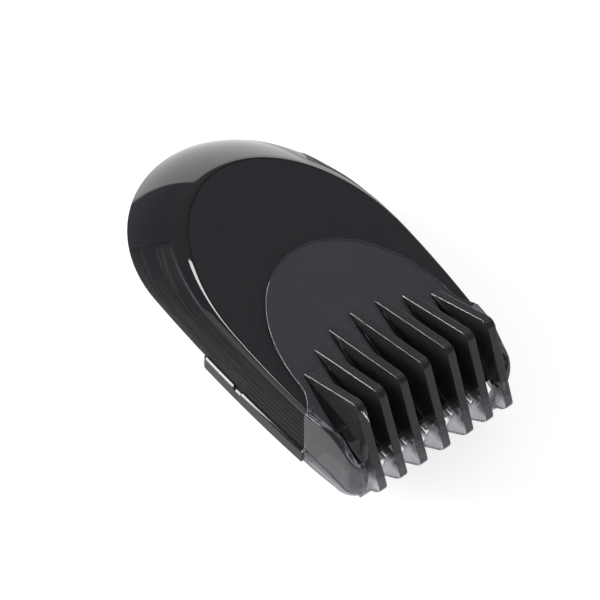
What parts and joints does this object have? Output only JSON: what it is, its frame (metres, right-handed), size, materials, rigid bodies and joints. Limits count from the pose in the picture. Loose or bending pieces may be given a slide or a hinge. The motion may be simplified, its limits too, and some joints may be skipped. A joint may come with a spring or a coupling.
{
  "type": "beard trimmer head",
  "caption": "Click-on beard trimmer head: oval housing with side grips, smoke-clear sliding guide comb, reciprocating steel blade and a round click-on drive collar.",
  "frame": {"origin": "on the drive axis, at the bottom face of the round mounting collar", "axes": "+Z out of the oval face, -Y towards the comb's teeth, X across the head"},
  "size_m": [0.0452, 0.0868, 0.032],
  "materials": {
    "gloss_black": "polished moulded plastic",
    "matte_charcoal": "fine matte texture",
    "grip_black": "satin with fine lengthwise texture",
    "satin_black": "satin moulded plastic",
    "satin_grey": "satin moulded plastic",
    "pale_polymer": "low-friction polymer",
    "button_grey": "satin moulded plastic",
    "smoke_clear": "smoke-tinted clear plastic",
    "bright_steel": "ground steel",
    "screw_steel": "plated steel",
    "bronze": "sintered bronze"
  },
  "bodies": {
    "housing": {"upper_shell": "gloss_black", "face_plate": "matte_charcoal", "side_grip_left": "grip_black", "side_grip_right": "grip_black", "lower_housing": "satin_black", "selector_cover": "satin_black", "nose_cover": "satin_black", "mount_collar": "satin_grey", "drive_chassis": "satin_grey", "spindle_bush": "bronze", "thrust_washer": "bright_steel", "lever_pivot_pin": "bright_steel", "lever_clip": "bright_steel", "blade_base": "satin_black", "fixed_blade": "bright_steel", "blade_spring": "bright_steel", "housing_screws": "screw_steel", "chassis_screws": "screw_steel", "base_screws": "screw_steel", "blade_screws": "screw_steel", "cover_screws": "screw_steel"},
    "drive_shaft": {"drive_coupling": "pale_polymer", "drive_spindle": "bright_steel", "eccentric": "pale_polymer"},
    "lever": {"drive_lever": "pale_polymer"},
    "cutter": {"moving_blade": "bright_steel", "cutter_holder": "pale_polymer"},
    "selector": {"selector_carriage": "pale_polymer"},
    "button": {"selector_button": "button_grey", "selector_spring": "bright_steel"},
    "carrier": {"comb_carrier": "satin_grey"},
    "comb": {"guide_comb": "smoke_clear"}
  },
  "joints": [
    {"name": "spindle_spin", "type": "hinge", "parent": "housing", "child": "drive_shaft", "pos_m": [0, 0, 0], "axis": [0, 0, 1], "continuous": true},
    {"name": "lever_rock", "type": "hinge", "parent": "housing", "child": "lever", "pos_m": [0, -0.02, 0], "axis": [0, 0, 1], "range_deg": [-2.2, 2.2]},
    {"name": "blade_slide", "type": "slide", "parent": "housing", "child": "cutter", "axis": [1, 0, 0], "range_m": [-0.00084, 0.00084]},
    {"name": "selector_slide", "type": "slide", "parent": "housing", "child": "selector", "axis": [1, 0, 0], "range_m": [0, 0.012]},
    {"name": "carrier_slide", "type": "slide", "parent": "housing", "child": "carrier", "axis": [0, -1, 0], "range_m": [0, 0.004]},
    {"name": "button_press", "type": "slide", "parent": "selector", "child": "button", "axis": [0, 0, 1], "range_m": [0, 0.0006], "stiffness_N_per_m": 600, "springref_m": -0.0008, "deforming": ["selector_spring"]},
    {"name": "comb_slide", "type": "slide", "parent": "carrier", "child": "comb", "axis": [0, -1, 0], "range_m": [0, 0.05]}
  ],
  "couplings": [
    {"joint": "lever_rock", "follows": "blade_slide", "rad_per_m": 45.455},
    {"joint": "carrier_slide", "follows": "selector_slide", "ratio": 0.33333}
  ]
}
